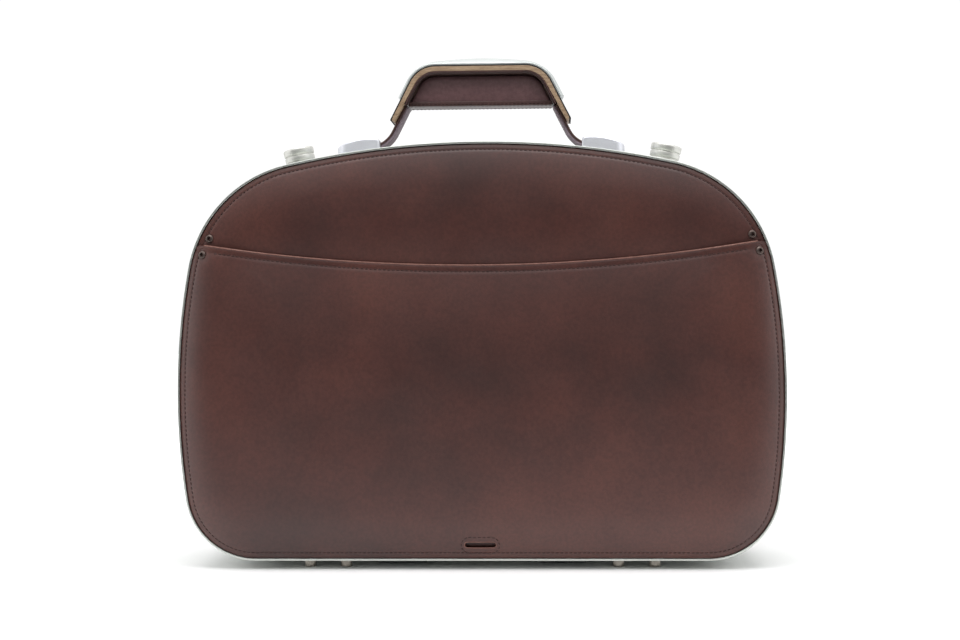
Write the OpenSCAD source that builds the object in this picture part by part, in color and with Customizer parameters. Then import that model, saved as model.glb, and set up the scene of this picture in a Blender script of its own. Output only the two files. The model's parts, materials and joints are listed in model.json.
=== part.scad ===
// Framed hand case with a leather front pocket, two rotary latches and a laminated carrying handle.
// Millimetres. X runs along the width, the pocket faces -Y, Z is up and the feet stand on z = 0.

/* [Outline] */
// Radius of the long crown arc along the top
crown_r = 650.8; // [600:0.1:700]
// Radius of the two shoulders
shoulder_r = 93.7; // [80:0.1:110]
// Radius of the slightly bowed sides
side_r = 520; // [450:1:600]
// Radius of the bottom corners
corner_r = 50.5; // [46:0.1:60]
// Direction at which the crown ends, in degrees from +X
crown_end = 77.4; // [76.5:0.1:78.5]
// Direction at which the shoulder ends
shoulder_end = 10.35; // [8:0.05:12]
// Direction at which the side ends
side_end = -8.55; // [-10:0.05:-7]

/* [Frame] */
// Depth of the frame from front edge to rear edge
frame_d = 110; // [100:1:130]
// Depth of the front shell, the lid
lid_d = 30; // [28:1:34]
// How far the metal stands outside the leather outline
rim = 2.3; // [2:0.1:3]
// Wall of the metal bands
band_wall = 1.6; // [1.2:0.1:1.8]
// Height of the feet below the frame
foot_h = 6.5; // [5.5:0.1:8]
// How far the padded leather stands proud of the frame
dome_h = 8.5; // [7.5:0.1:10]

/* [Handle] */
// Clear height for the hand over the middle of the frame
hand_clear = 32.5; // [28:0.5:40]
// Height of the top of the wood layer over the frame
arch_h = 61.3; // [56:0.1:66]
// Half length of the straight top
arch_half = 34; // [30:0.5:38]
// Radius of the arch's shoulders
arch_r = 24.3; // [22:0.1:27]
// Width of the arch from front to rear
arch_w = 36; // [32:1:38]
// Width of the padded grip from front to rear
grip_w = 20; // [18:1:28]
// Slope of the arch's legs, degrees below horizontal
arch_slope = 66; // [64:0.5:68]

/* [Latches] */
// Distance of each latch from the middle of the case
latch_x = 138.4; // [136:0.1:142]
// Radius of the knobs
knob_r = 11.45; // [10:0.05:12.5]
// Height of the knobs over the frame
knob_h = 15.6; // [12:0.1:18]

/* [Hidden] */

fit = 0.05;                          // radial clearance of a running shaft
gap = 0.2;                           // half of the clearance at the parting plane
front_y = -frame_d / 2;
back_y = frame_d / 2;
part_y = front_y + lid_d;            // plane in which the case opens
base_z = foot_h + rim;               // height of the leather outline's flat bottom
board_t = 3;
board_in = 5;                        // board's outer face behind the band's edge
rib_t = 1.5;
flange_t = 2.4;
flange_d = 6;
lining_t = 1;
leather_t = 1.6;
panel_h = 1.7;                       // dome of the lid panel under the pocket
dome_run = 30;                       // distance over which a dome rises from its edge
tuck = 0.6;                          // outer leather's edge behind the band's edge
panel_tuck = 2.3;                    // the same for the panel under the pocket
seam_w = 6;                          // width of the pocket's bonded rim

// Tangent arcs of the outline, in X and Z, with the leather's flat bottom at zero.
c4 = [0, corner_r];
c3 = c4 - (side_r - corner_r) * dir(side_end);
c2 = c3 + (side_r - shoulder_r) * dir(shoulder_end);
c1 = c2 - (crown_r - shoulder_r) * dir(crown_end);
shift_x = [-c1.x, 0];
crown_c = c1 + shift_x;
shoulder_c = c2 + shift_x;
side_c = c3 + shift_x;
corner_c = c4 + shift_x;
top_z = base_z + crown_c.y + crown_r + rim;    // highest line of the frame

function dir(a) = [cos(a), sin(a)];
function arc(c, r, from, to, n, first = 0) =
    [for (i = [first:n]) c + r * dir(from + (to - from) * i / n)];
function half_outline(d) = concat(
    arc(crown_c, crown_r + d, 90, crown_end, 10),
    arc(shoulder_c, shoulder_r + d, crown_end, shoulder_end, 12, 1),
    arc(side_c, side_r + d, shoulder_end, side_end, 6, 1),
    arc(corner_c, corner_r + d, side_end, -90, 10, 1));
function outline(d) = let (h = half_outline(d), n = len(h))
    concat(h, [for (i = [n - 1:-1:1]) [-h[i].x, h[i].y]]);
function crown_z(x, d = 0) = base_z + crown_c.y + sqrt(pow(crown_r + d, 2) - x * x);

// Extrudes a shape drawn in X and Z from y = from to y = to.
module slab(from, to) {
    translate([0, to, base_z]) rotate([90, 0, 0]) linear_extrude(to - from) children();
}
module plate(d, from, to) { slab(from, to) polygon(outline(d)); }
module ring(d_out, d_in, from, to) {
    slab(from, to) difference() {
        polygon(outline(d_out));
        polygon(outline(d_in));
    }
}
// Extrudes an outline drawn in X and absolute Z across the width w, centred on y = 0.
module across(w) { rotate([90, 0, 0]) linear_extrude(w, center = true) children(); }

// Closed solid through rings of equal length; the first and last are capped.
module loft(rings) {
    n = len(rings[0]);
    points = [for (r = rings) each r];
    sides = [for (k = [0:len(rings) - 2], i = [0:n - 1]) let (j = (i + 1) % n)
        each [[k * n + i, k * n + j, (k + 1) * n + j], [k * n + i, (k + 1) * n + j, (k + 1) * n + i]]];
    caps = [[for (i = [n - 1:-1:0]) i], [for (i = [0:n - 1]) (len(rings) - 1) * n + i]];
    polyhedron(points, concat(sides, caps));
}
function at_y(pts, y) = [for (p = pts) [p.x, y, p.y + base_z]];
dome_steps = [0, 1.5, 4, 8, 14, 21, dome_run];
function rise(d, h) = h * (1 - pow(1 - d / dome_run, 2.2));
// A padded panel for the rear: flat at y = from, crowned by h beyond y = edge.
module pillow(from, edge, h) {
    loft(concat([at_y(outline(0), from)],
        [for (d = dome_steps) at_y(outline(-d), edge + rise(d, h))]));
}
module to_front() { mirror([0, 1, 0]) children(); }
module both_sides() { for (s = [-1, 1]) scale_side(s) children(); }
module scale_side(s) { mirror([s < 0 ? 1 : 0, 0, 0]) children(); }
module along_y(x, z, from, to, r) {
    translate([x, to, z]) rotate([90, 0, 0]) cylinder(r = r, h = to - from, $fn = 32);
}

// ---- frame bands ----
module base_frame_band() color("silver") difference() {
    union() {
        ring(rim, rim - band_wall, part_y + gap, back_y);
        ring(rim - band_wall, -flange_d, part_y + gap, part_y + gap + flange_t);
        ring(rim - band_wall, -rib_t, back_y - board_in - board_t - rib_t, back_y - board_in - board_t);
    }
    ring(-seal_from + fit, -seal_to - fit, part_y, part_y + gap + seal_t + fit);
    both_sides() at_latch() cylinder(r = bush_r + 0.02, h = 20, center = true, $fn = 48);
    both_sides() cap_screw_holes();
    foot_holes(1);
}
module lid_frame_band() color("silver") difference() {
    union() {
        ring(rim, rim - band_wall, front_y, part_y - gap);
        ring(rim - band_wall, -flange_d, part_y - gap - flange_t, part_y - gap);
        ring(rim - band_wall, -rib_t, front_y + board_in + board_t, front_y + board_in + board_t + rib_t);
    }
    foot_holes(-1);
}
seal_from = 1;                       // seal's place in the flange, inward from the leather outline
seal_to = 4;
seal_t = 1.2;
module parting_seal() color("black") ring(-seal_from, -seal_to, part_y + gap + 0.1, part_y + gap + seal_t);

// ---- boards and linings ----
module base_board() color("saddlebrown")
    plate(0.4, back_y - board_in - board_t + 0.05, back_y - board_in);
module lid_board() color("saddlebrown") difference() {
    plate(0.4, front_y + board_in, front_y + board_in + board_t - 0.05);
    pocket_screw_holes(screw_hole_r);
}
module base_lining() color("dimgray")
    plate(-rib_t - 0.5, back_y - board_in - board_t - lining_t, back_y - board_in - board_t);
module lid_lining() color("dimgray") difference() {
    plate(-rib_t - 0.5, front_y + board_in + board_t, front_y + board_in + board_t + lining_t);
    pocket_screw_holes(screw_hole_r);
}
module base_side_lining() color("dimgray") difference() {
    ring(rim - band_wall - 0.1, rim - band_wall - 0.1 - lining_t, part_y + gap + flange_t + 0.1,
        back_y - board_in - board_t - rib_t - 0.1);
    both_sides() at_latch() translate([0, 0, -15]) cylinder(r = ring_nut_r + 0.5, h = 16, $fn = 48);
    both_sides() cap_screw_holes();
    foot_holes(1);
}
module lid_side_lining() color("dimgray") difference() {
    ring(rim - band_wall - 0.1, rim - band_wall - 0.1 - lining_t,
        front_y + board_in + board_t + rib_t + 0.1, part_y - gap - flange_t - 0.1);
    both_sides() at_latch() translate([-8.2, part_y + keeper_y - 4.2, -6])
        cube([16.4, 8.4, 6]);
    foot_holes(-1);
}

// ---- leather panels and the pocket ----
mouth_z = base_z + 214.9;            // lowest point of the pocket's mouth
mouth_r = 1300;                      // radius on which the mouth sags
screw_r = 1.25;
screw_hole_r = 1.45;
head_r = 3;
head_h = 1.7;
upper_screw = [199.7, 236.2];
lower_screw = [204.9, 224.2];
slot_w = 23;
slot_h = 4.1;
slot_z = base_z + 10.1;
module base_leather_panel() color("#5a3d38") pillow(back_y - board_in, back_y - tuck, dome_h + tuck);
module lid_leather_panel() color("#5a3d38") difference() {
    to_front() pillow(back_y - board_in, back_y - panel_tuck, panel_h + panel_tuck);
    pocket_screw_holes(screw_hole_r);
    for (s = [upper_screw, lower_screw]) head_seat(s, front_y - seat_rise(panel_h, panel_tuck) - 0.1);
}
function seat_rise(h, edge) = rise(6.3, h + edge) - edge;
module pocket_screw_holes(r) {
    both_sides() for (s = [upper_screw, lower_screw])
        along_y(s.x, s.y + base_z, front_y - 20, front_y + 20, r);
}
module head_seat(s, y) { both_sides() along_y(s.x, s.y + base_z, y - 8, y, head_r + 0.25); }
function mouth_at(x) = mouth_z + mouth_r - sqrt(mouth_r * mouth_r - x * x);
module mouth_cut() {
    across(60 - 2 * front_y) polygon(concat([for (x = [-230:10:230]) [x, mouth_at(x)]], [[230, 420], [-230, 420]]));
}
module stadium(w, h, from, to) {
    for (s = [-1, 1]) along_y(s * (w - h) / 2, slot_z, from, to, h / 2);
    translate([-(w - h) / 2, from, slot_z - h / 2]) cube([w - h, to - from, h]);
}
// The pocket is one dished sheet: rings run over its inside, round its edge and back over its outside.
function in_front(d, y, h) = at_y(outline(-d), y + rise(d, h));
module pocket_shell() {
    edge = back_y - tuck;
    panel_edge = back_y - panel_tuck + 0.15;
    to_front() loft(concat(
        [for (d = [dome_run, 21, 14, 8]) in_front(d, edge - leather_t, dome_h + tuck)],
        [for (d = [seam_w, 3, 0]) in_front(d, panel_edge, panel_h + panel_tuck)],
        [for (d = dome_steps) in_front(d, edge, dome_h + tuck)]));
}
module pocket_leather() color("#5a3d38") difference() {
    pocket_shell();
    mouth_cut();
    pocket_screw_holes(screw_hole_r);
    head_seat(lower_screw, front_y - seat_rise(dome_h, tuck) + 0.2);
    stadium(slot_w, slot_h, front_y - 15, front_y + 15);
}
// The binding follows the mouth as a strip whose section stands on the pocket's cut edge.
binding_t = 1.1;
binding_x = 201;
function inset_at(x, z) = abs(x) < shoulder_c.x ? dome_run
    : min(dome_run, shoulder_r - norm([abs(x), z - base_z] - shoulder_c));
function pocket_y(x, z) = front_y + tuck - rise(inset_at(x, z), dome_h + tuck);
function binding_ring(x) = let (z = mouth_at(x) + 0.15, y = pocket_y(x, z))
    [[x, y + leather_t - 0.2, z], [x, y + 0.2, z], [x, y + 0.2, z + binding_t], [x, y + leather_t - 0.2, z + binding_t]];
module pocket_edge_binding() color("#8a625a")
    loft([for (i = [0:40]) binding_ring(binding_x * sin(-90 + 4.5 * i))]);
patch_w = 25.4;
patch_h = 6.5;
patch_y = 4.86;                      // the lip's middle lies this far in front of the frame's edge
patch_t = 0.6;
patch_lean = 22;                     // it leans with the leather it is stitched to
module slot_patch() color("#6a4a44") difference() {
    translate([0, front_y - patch_y, slot_z]) rotate([patch_lean, 0, 0]) translate([0, 0, -slot_z])
        stadium(patch_w, patch_h, -patch_t, 0);
    stadium(slot_w, slot_h, front_y - 15, front_y + 15);
}
module hex_head_screw(y) {
    difference() {
        union() {
            along_y(0, 0, y - head_h * 0.55, y, head_r);
            translate([0, y - head_h * 0.55, 0]) rotate([90, 0, 0])
                cylinder(r1 = head_r, r2 = head_r * 0.6, h = head_h * 0.45, $fn = 32);
            along_y(0, 0, y - 0.1, front_y + board_in + board_t - 0.2, screw_r);
        }
        translate([0, y - head_h + 1.1, 0]) rotate([90, 0, 0]) cylinder(r = 1.3, h = 3, $fn = 6);
    }
}
module pocket_screws() color("#6b5a55") both_sides() {
    translate([upper_screw.x, 0, upper_screw.y + base_z]) hex_head_screw(front_y - seat_rise(panel_h, panel_tuck) - 0.15);
    translate([lower_screw.x, 0, lower_screw.y + base_z]) hex_head_screw(front_y - seat_rise(dome_h, tuck) + 0.1);
}

// ---- feet ----
foot_x = [101.5, 128.5];
foot_inset = 18;
foot_r = 4.2;
function foot_y(side) = side * (frame_d / 2 - foot_inset);
module foot_holes(side) {
    for (x = foot_x, s = [-1, 1]) translate([s * x, foot_y(side), foot_h - 1]) cylinder(r = 1.6, h = 8, $fn = 24);
}
module feet(side) {
    for (x = foot_x, s = [-1, 1]) translate([s * x, foot_y(side), 0]) difference() {
        rotate_extrude($fn = 48) polygon([[0, 0], [foot_r - 0.6, 0], [foot_r, 0.6], [foot_r, 4.6],
            [foot_r - 0.5, 5], [foot_r - 0.5, foot_h], [0, foot_h]]);
        translate([0, 0, 2]) cylinder(r = 1.6, h = foot_h, $fn = 24);
    }
}
module foot_screws(side) {
    for (x = foot_x, s = [-1, 1]) translate([s * x, foot_y(side), 0]) {
        translate([0, 0, 2.3]) cylinder(r = 1.5, h = foot_h + 0.5, $fn = 24);
        translate([0, 0, foot_h + rim + 0.6]) cylinder(r = 2.8, h = 1.4, $fn = 32);
    }
}
module base_feet() color("tan") feet(1);
module lid_feet() color("tan") feet(-1);
module base_foot_screws() color("gray") foot_screws(1);
module lid_foot_screws() color("gray") foot_screws(-1);

// ---- hinges ----
hinge_x = 60;
hinge_w = 36;
pin_z = 3.6;
pin_r = 1.2;
knuckle_r = 2.4;
leaf_t = 1;
leaf_d = 13;
module each_hinge() { for (s = [-1, 1]) translate([s * hinge_x, part_y, 0]) children(); }
module knuckle(from, to, r) {
    translate([from, 0, pin_z]) rotate([0, 90, 0]) cylinder(r = r, h = to - from, $fn = 40);
}
module leaf(side, spans, hole) {
    difference() {
        union() {
            translate([-hinge_w / 2, side > 0 ? 3 : -3 - leaf_d, foot_h - leaf_t]) cube([hinge_w, leaf_d, leaf_t]);
            for (k = spans) {
                knuckle(k.x, k.y, knuckle_r);
                translate([k.x, side > 0 ? 0 : -3.5, pin_z + 0.9]) cube([k.y - k.x, 3.5, foot_h - pin_z - 0.9]);
            }
        }
        knuckle(-hinge_w, hinge_w, hole);
    }
}
module base_hinge_leaves() color("lightgray") each_hinge() leaf(1, [[-18, -6.2], [6.2, 18]], pin_r + 0.01);
module lid_hinge_leaves() color("lightgray") each_hinge() leaf(-1, [[-6, 6]], pin_r + fit);
module hinge_pins() color("gray") each_hinge() knuckle(-18, 18, pin_r);

// ---- handle: arch layers as parallel offsets of one path ----
leg_len = 30;                        // length of the arch's straight legs
wood_t = 3.7;
gasket_t = 0.9;
plate_t = 1.3;
crown_h = 5.8;
leather_layers = 2.4;
strap_t = 3.7;
arch_top = top_z + arch_h;
grip_z = top_z + hand_clear;
bend_c = [arch_half, arch_top - arch_r];
bend_end = 90 - arch_slope;
leg_dir = [cos(arch_slope), -sin(arch_slope)];
// Point on the path at depth off below the top of the wood: t runs 0..1 on the bend, then down the leg.
function leg_point(off, s) = bend_c + (arch_r - off) * dir(bend_end) + leg_dir * s;
function half_arch(off, s) = concat(
    [for (i = [0:8]) bend_c + (arch_r - off) * dir(90 - arch_slope * i / 8)], [leg_point(off, s)]);
function full_arch(off, s) = let (h = half_arch(off, s), n = len(h))
    concat([for (i = [n - 1:-1:0]) [-h[i].x, h[i].y]], h);
function turned(pts) = [for (i = [len(pts) - 1:-1:0]) pts[i]];
module arch_layer(from, to, s, w) {
    across(w) polygon(concat(full_arch(from, s), turned(full_arch(to, s))));
}
grip_leg = (leg_point(4, 0).y - grip_z) / sin(arch_slope);    // leg length down to the grip's underside
module handle_wood() color("burlywood") difference() {
    arch_layer(0, wood_t, leg_len, arch_w);
    handle_screw_holes(1.6);
}
module handle_gasket() color("black") difference() {
    arch_layer(-gasket_t, -0.02, leg_len - 1, arch_w);
    handle_screw_holes(1.6);
}
module handle_leather() color("#46302e") difference() {
    arch_layer(wood_t + 0.02, wood_t + leather_layers, grip_leg, arch_w);
    handle_screw_holes(1.6);
}
plate_leg = 15;
function plate_crown(x, y) = plate_t
    + (0.8 + (crown_h - 0.8) * max(0, 1 - pow(x / (arch_half + 8), 2))) * (1 - pow(2 * y / arch_w, 2));
function plate_path() = let (o = -gasket_t) concat(
    [for (x = [0:arch_half / 4:arch_half * 0.99]) [x, arch_top - o, 0]],
    [for (i = [0:8]) let (a = arch_slope * i / 8) [for (v = [0:2]) v < 2
        ? (bend_c + (arch_r - o) * dir(90 - a))[v] : a]],
    [[leg_point(o, plate_leg).x, leg_point(o, plate_leg).y, arch_slope]]);
function plate_ring(p, side) = let (n = [sin(p[2]), cos(p[2])], foot = [p[0], p[1]]) concat(
    [[side * foot.x, arch_w / 2, foot.y], [side * foot.x, -arch_w / 2, foot.y]],
    [for (k = [-6:6]) let (y = k * arch_w / 12, q = foot + n * plate_crown(p[0], y)) [side * q.x, y, q.y]]);
module handle_top_plate() color("lightgray") difference() {
    loft(concat([for (p = turned(plate_path())) plate_ring(p, -1)],
        [for (i = [1:len(plate_path()) - 1]) plate_ring(plate_path()[i], 1)]));
    for (s = [-1, 1]) translate([s * screw_x, 0, arch_top - 1]) cylinder(r = 1.6, h = 4, $fn = 24);
}
screw_x = 24;
module handle_screw_holes(r) {
    for (s = [-1, 1]) translate([s * screw_x, 0, grip_z]) cylinder(r = r, h = arch_top - grip_z + 3, $fn = 24);
}
// The padded grip between the arch and the hand.
grip_skin = 1.4;
function grip_shape(d) = let (o = wood_t + leather_layers + 0.05 + d, low = grip_z + d,
        s = (leg_point(o, 0).y - low) / sin(arch_slope))
    concat(full_arch(o, s), []);
module grip_body(d) { across(grip_w - 2 * d) polygon(grip_shape(d)); }
module grip_core() color("peru") difference() {
    grip_body(grip_skin + 0.02);
    handle_screw_holes(1.6);
}
module grip_cover() color("#5a4440") difference() {
    grip_body(0);
    grip_body(grip_skin);
    for (s = [-1, 1]) translate([s * screw_x, 0, grip_z + 12]) cylinder(r = 1.6, h = 40, $fn = 24);
}
module handle_screws() color("gray") {
    for (s = [-1, 1]) translate([s * screw_x, 0, 0]) {
        translate([0, 0, grip_z + grip_skin + 4]) cylinder(r = 1.5, h = arch_top + 2 - grip_z - grip_skin - 4, $fn = 24);
    }
}

// ---- straps, caps and anchors ----
strap_w = 20;
strap_end = 24;                      // slope at which a strap enters its cap
strap_from = 6;                      // the strap starts this far up the leg, under the wood
strap_mid = wood_t + 0.3 + strap_t / 2;
strap_r = 26.3;
strap_leg = 31.5;                    // a strap leaves the leg's line this far down it
cap_in = 76.9;
cap_out = 110.8;
cap_w = 42;
cap_peak = 12.7;
cap_drop = 9.6;                      // how far the top falls away at the square of the distance from its peak
function strap_path(off) = let (
        a = leg_point(strap_mid + off, strap_leg),
        c = leg_point(strap_mid, strap_leg) + strap_r * dir(bend_end),
        up = leg_point(strap_mid + off, grip_leg + 1.6),
        tail = c - (strap_r + off) * dir(90 - strap_end))
    concat([up, a], [for (i = [1:8]) c - (strap_r + off) * dir(bend_end + (90 - strap_end - bend_end) * i / 8)],
        [tail + 5 * [cos(strap_end), -sin(strap_end)]]);
module strap() {
    across(strap_w) polygon(concat(strap_path(-strap_t / 2), turned(strap_path(strap_t / 2))));
}
module strap_left() color("#5a3d38") scale_side(-1) strap_cut();
module strap_right() color("#5a3d38") strap_cut();
strap_tail = leg_point(strap_mid, strap_leg) + strap_r * dir(bend_end) - strap_r * dir(90 - strap_end)
    + 3 * [cos(strap_end), -sin(strap_end)];
module strap_cut() difference() {
    strap();
    translate([strap_tail.x, 0, strap_tail.y]) rotate([90, 0, 0])
        cylinder(r = 0.82, h = 60, center = true, $fn = 24);
}
module strap_pins() color("gray") both_sides() translate([strap_tail.x, 0, strap_tail.y])
    rotate([90, 0, 0]) cylinder(r = 0.8, h = cap_w - 6, center = true, $fn = 24);
function cap_top(t) = crown_z(cap_in + (cap_out - cap_in) * t, rim) + cap_peak - cap_drop * pow(t - 0.45, 2);
module cap_profile() {
    polygon(concat(
        [for (i = [0:8]) let (x = cap_in + (cap_out - cap_in) * i / 8) [x, crown_z(x, rim) + 0.1]],
        [for (i = [8:-1:0]) [cap_in + (cap_out - cap_in) * i / 8, cap_top(i / 8)]]));
}
cap_corner = 9;
module cap_plan() {
    translate([cap_in, -cap_w / 2]) square([cap_out - cap_in - cap_corner, cap_w]);
    translate([cap_out - cap_corner - 1, cap_corner - cap_w / 2]) square([cap_corner + 1, cap_w - 2 * cap_corner]);
    for (s = [-1, 1]) translate([cap_out - cap_corner, s * (cap_w / 2 - cap_corner)]) circle(r = cap_corner, $fn = 48);
}
module cap() {
    difference() {
        intersection() {
            across(cap_w) cap_profile();
            translate([0, 0, top_z - 30]) linear_extrude(60) cap_plan();
        }
        translate([cap_in - 1, -strap_w / 2 - 0.6, crown_z(cap_in, rim) + 2.2]) cube([11, strap_w + 1.2, 7.4]);
        translate([strap_tail.x, 0, strap_tail.y]) rotate([90, 0, 0])
            cylinder(r = 0.82, h = cap_w - 5.9, center = true, $fn = 24);
        cap_screw_holes();
    }
}
module handle_cap_left() color("gainsboro") scale_side(-1) cap();
module handle_cap_right() color("gainsboro") cap();
anchor_x = 99;
anchor_a = asin(anchor_x / (crown_r + rim));
module at_anchor() {
    translate([anchor_x, 0, crown_z(anchor_x, rim)]) rotate([0, anchor_a, 0]) children();
}
module cap_screw_holes() {
    at_anchor() for (s = [-1, 1]) translate([0, s * 12, -12]) cylinder(r = 1.85, h = 17, $fn = 24);
}
module handle_anchor_plates() color("gray") both_sides() at_anchor() difference() {
    translate([-7, -18, -rim + band_wall - 5.6]) cube([14, 36, 1.8]);
    for (s = [-1, 1]) translate([0, s * 12, -12]) cylinder(r = 1.85, h = 17, $fn = 24);
}
module handle_cap_screws() color("gray") both_sides() at_anchor() for (s = [-1, 1])
    translate([0, s * 12, -rim + band_wall - 5.7]) {
        cylinder(r = 1.8, h = 10, $fn = 24);
        translate([0, 0, -1.6]) cylinder(r = 3.2, h = 1.6, $fn = 32);
    }

// ---- latches: each turns about the local outward normal of the crown ----
latch_a = asin(latch_x / (crown_r + rim));
shaft_r = 3;
bush_r = 5.5;
ring_nut_r = 8;
keeper_y = -7;                       // post's place in front of the parting plane
post_r = 2;
hook_z = -17.6;
hook_t = 3;
hook_in = part_reach() + post_r + 1.1;
hook_out = hook_in + 3.2;
function part_reach() = -(part_y + keeper_y);
module at_latch() {
    translate([latch_x, 0, crown_z(latch_x, rim)]) rotate([0, latch_a, 0]) children();
}
module knob() at_latch() difference() {
    rotate_extrude($fn = 96) polygon([[0, 0.4], [knob_r + 0.1, 0.4], [knob_r - 0.1, 1.2], [knob_r - 0.7, 2.2],
        [knob_r - 0.7, 5.2], [knob_r - 1.2, 5.4], [knob_r - 1.2, 6], [knob_r - 0.5, 6.3], [knob_r - 0.2, 9.4],
        [knob_r - 0.9, 9.7], [knob_r - 0.9, 10.3], [knob_r - 0.1, 10.6], [knob_r, knob_h - 0.7],
        [knob_r - 0.6, knob_h], [0, knob_h]]);
    cylinder(r = shaft_r + 0.02, h = knob_h - 4, $fn = 48);
    translate([0, 0, -0.1]) cylinder(r = bush_r + 2.3, h = 3.2, $fn = 48);
}
module latch_shaft() at_latch() {
    translate([0, 0, hook_z - 3.5]) cylinder(r = 1.9, h = 7, $fn = 32);
    translate([0, 0, hook_z + hook_t + 0.1]) cylinder(r = shaft_r, h = knob_h - 4.2 - hook_z - hook_t - 0.1, $fn = 48);
}
module latch_bush() at_latch() difference() {
    union() {
        translate([0, 0, -7.6]) cylinder(r = bush_r, h = 7.8, $fn = 48);
        translate([0, 0, 0.15]) cylinder(r = bush_r + 2, h = 1.2, $fn = 48);
    }
    translate([0, 0, -20]) cylinder(r = shaft_r + fit, h = 40, $fn = 48);
}
module ring_nut() at_latch() difference() {
    translate([0, 0, -6.6]) cylinder(r = ring_nut_r, h = 2.6, $fn = 6);
    translate([0, 0, -20]) cylinder(r = bush_r + 0.02, h = 40, $fn = 48);
}
module latch_ring_nuts() color("goldenrod") both_sides() ring_nut();
module spring_washer() at_latch() difference() {
    translate([0, 0, 1.7]) cylinder(r = 6, h = 0.6, $fn = 48);
    translate([0, 0, 1]) cylinder(r = shaft_r + 0.02, h = 3, $fn = 48);
}
// The hook lies along the case at rest, and its finger passes round the keeper's post when turned.
module latch_hook() at_latch() translate([0, 0, hook_z]) difference() {
    linear_extrude(hook_t) {
        circle(r = 7, $fn = 48);
        rotate(160) translate([0, -3.5]) square([hook_out - 0.4, 7]);
        rotate(178) translate([hook_in, -hook_in * tan(18)]) square([hook_out - hook_in, 2 * hook_in * tan(18)]);
        rotate(178) translate([(hook_in + hook_out) / 2, hook_in * tan(18)]) circle(d = hook_out - hook_in, $fn = 32);
    }
    translate([0, 0, -1]) cylinder(r = 1.92, h = hook_t + 2, $fn = 32);
}
module latch_nut() at_latch() difference() {
    translate([0, 0, hook_z - 3]) cylinder(r = 4, h = 2.9, $fn = 6);
    translate([0, 0, hook_z - 5]) cylinder(r = 1.92, h = 8, $fn = 32);
}
module knob_left() color("silver") scale_side(-1) knob();
module knob_right() color("silver") knob();
module latch_shaft_left() color("gray") scale_side(-1) latch_shaft();
module latch_shaft_right() color("gray") latch_shaft();
module latch_bush_left() color("goldenrod") scale_side(-1) latch_bush();
module latch_bush_right() color("goldenrod") latch_bush();
module latch_spring_washer_left() color("dimgray") scale_side(-1) spring_washer();
module latch_spring_washer_right() color("dimgray") spring_washer();
module latch_hook_left() color("slategray") scale_side(-1) latch_hook();
module latch_hook_right() color("slategray") latch_hook();
module latch_nut_left() color("gray") scale_side(-1) latch_nut();
module latch_nut_right() color("gray") latch_nut();

// ---- keepers on the lid ----
keeper_top = -2.1;
module keeper() at_latch() translate([0, part_y + keeper_y, 0]) difference() {
    union() {
        translate([-8, -4, keeper_top - 1.6]) cube([16, 8, 1.6]);
        translate([0, 0, hook_z - 1]) cylinder(r = post_r, h = keeper_top - hook_z, $fn = 32);
    }
    for (s = [-1, 1]) translate([s * 5.6, 0, -9]) cylinder(r = 1.02, h = 12, $fn = 24);
}
module keeper_left() color("gray") scale_side(-1) keeper();
module keeper_right() color("gray") keeper();
module keeper_screws() color("gray") both_sides() at_latch() for (s = [-1, 1])
    translate([s * 5.6, part_y + keeper_y, keeper_top - 1.6]) {
        cylinder(r = 1, h = 1.5, $fn = 24);
        translate([0, 0, -1]) cylinder(r = 1.9, h = 0.98, $fn = 24);
    }

base_frame_band();
base_board();
base_leather_panel();
base_lining();
base_side_lining();
parting_seal();
base_hinge_leaves();
hinge_pins();
base_feet();
base_foot_screws();
handle_cap_left();
handle_cap_right();
handle_anchor_plates();
handle_cap_screws();
strap_pins();
strap_left();
strap_right();
latch_bush_left();
latch_bush_right();
latch_ring_nuts();
handle_top_plate();
handle_gasket();
handle_wood();
handle_leather();
grip_core();
grip_cover();
handle_screws();
knob_left();
latch_shaft_left();
latch_spring_washer_left();
latch_hook_left();
latch_nut_left();
knob_right();
latch_shaft_right();
latch_spring_washer_right();
latch_hook_right();
latch_nut_right();
lid_frame_band();
lid_board();
lid_leather_panel();
lid_lining();
lid_side_lining();
pocket_leather();
pocket_edge_binding();
slot_patch();
pocket_screws();
keeper_left();
keeper_right();
keeper_screws();
lid_hinge_leaves();
lid_feet();
lid_foot_screws();
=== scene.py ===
import json
import math
from math import cos, pi, radians, sin

import bmesh
import bpy
import numpy as np
from mathutils import Matrix, Vector, noise

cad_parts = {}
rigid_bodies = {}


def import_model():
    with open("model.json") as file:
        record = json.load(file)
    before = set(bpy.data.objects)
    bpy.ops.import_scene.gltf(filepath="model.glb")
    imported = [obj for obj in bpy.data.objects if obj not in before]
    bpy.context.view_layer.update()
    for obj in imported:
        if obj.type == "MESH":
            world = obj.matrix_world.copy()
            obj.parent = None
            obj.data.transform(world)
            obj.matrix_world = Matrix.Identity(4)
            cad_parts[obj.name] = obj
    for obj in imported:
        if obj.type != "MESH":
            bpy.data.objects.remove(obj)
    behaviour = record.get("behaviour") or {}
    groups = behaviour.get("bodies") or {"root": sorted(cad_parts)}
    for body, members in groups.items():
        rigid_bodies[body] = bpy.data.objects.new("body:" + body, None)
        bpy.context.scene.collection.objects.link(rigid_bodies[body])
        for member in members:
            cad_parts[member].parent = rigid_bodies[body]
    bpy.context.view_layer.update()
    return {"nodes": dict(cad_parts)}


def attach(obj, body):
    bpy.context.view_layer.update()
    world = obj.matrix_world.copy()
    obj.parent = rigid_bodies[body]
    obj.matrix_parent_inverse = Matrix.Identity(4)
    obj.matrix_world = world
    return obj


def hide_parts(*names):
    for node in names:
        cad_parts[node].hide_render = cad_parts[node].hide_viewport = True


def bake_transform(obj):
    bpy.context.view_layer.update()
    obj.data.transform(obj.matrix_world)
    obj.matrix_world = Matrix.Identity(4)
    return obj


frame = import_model()
scene = bpy.context.scene
mm = 0.001

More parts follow.
